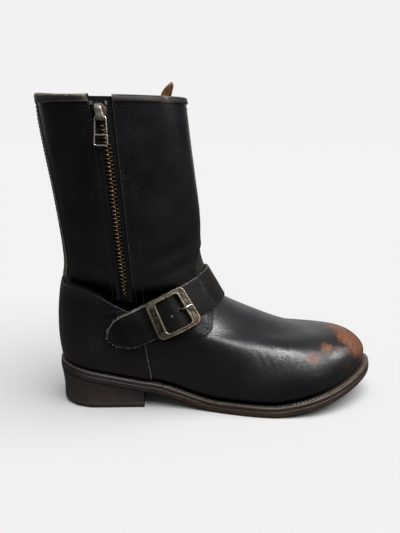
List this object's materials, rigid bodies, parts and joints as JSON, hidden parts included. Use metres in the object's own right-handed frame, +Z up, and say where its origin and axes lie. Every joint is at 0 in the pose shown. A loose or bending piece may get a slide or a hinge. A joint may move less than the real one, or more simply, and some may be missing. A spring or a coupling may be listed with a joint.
{
  "type": "boot",
  "caption": "Biker boot for the right foot: hollow leather upper open at the collar, zip in the outer side, buckled instep strap, welted leather sole with a low heel.",
  "frame": {"origin": "middle of the heel's tread, on the floor", "axes": "+X to the toe, +Y to the inner side of the foot, +Z up"},
  "size_m": [0.3133, 0.1151, 0.2959],
  "materials": {
    "leather": "worn black, half gloss",
    "counter_leather": "worn black, half gloss",
    "binding_leather": "worn brown-grey, matt",
    "strap_leather": "black, half gloss, raw edges",
    "loop_leather": "brown, matt",
    "sole_leather": "dark brown, worn",
    "heel_leather": "black, satin",
    "top_piece_rubber": "matt",
    "insole_leather": "matt",
    "zip_tape": "woven, matt",
    "antique_brass": "tarnished",
    "old_nickel": "tarnished nickel plate"
  },
  "bodies": {
    "boot": {"upper": "leather", "shaft": "leather", "counter": "counter_leather", "back_strip": "leather", "collar_binding": "binding_leather", "pull_loop": "loop_leather", "instep_strap": "strap_leather", "strap_chape": "strap_leather", "buckle_frame": "old_nickel", "buckle_prong": "old_nickel", "zip_tape_rear": "zip_tape", "zip_tape_front": "zip_tape", "zip_chain": "antique_brass", "zip_stop_rear": "antique_brass", "zip_stop_front": "antique_brass", "zip_stop_foot": "antique_brass", "zip_slider": "old_nickel", "outsole": "sole_leather", "welt": "sole_leather", "heel_rand": "heel_leather", "heel_block": "heel_leather", "heel_top_piece": "top_piece_rubber", "insole": "insole_leather"},
    "zip_pull": {"zip_pull": "old_nickel"}
  },
  "joints": [
    {"name": "zip_pull_hinge", "type": "hinge", "parent": "boot", "child": "zip_pull", "pos_m": [0.00847, -0.05054, 0.26375], "axis": [-0.9974, 0.0718, 0.0059], "range_deg": [-2, 170]}
  ]
}
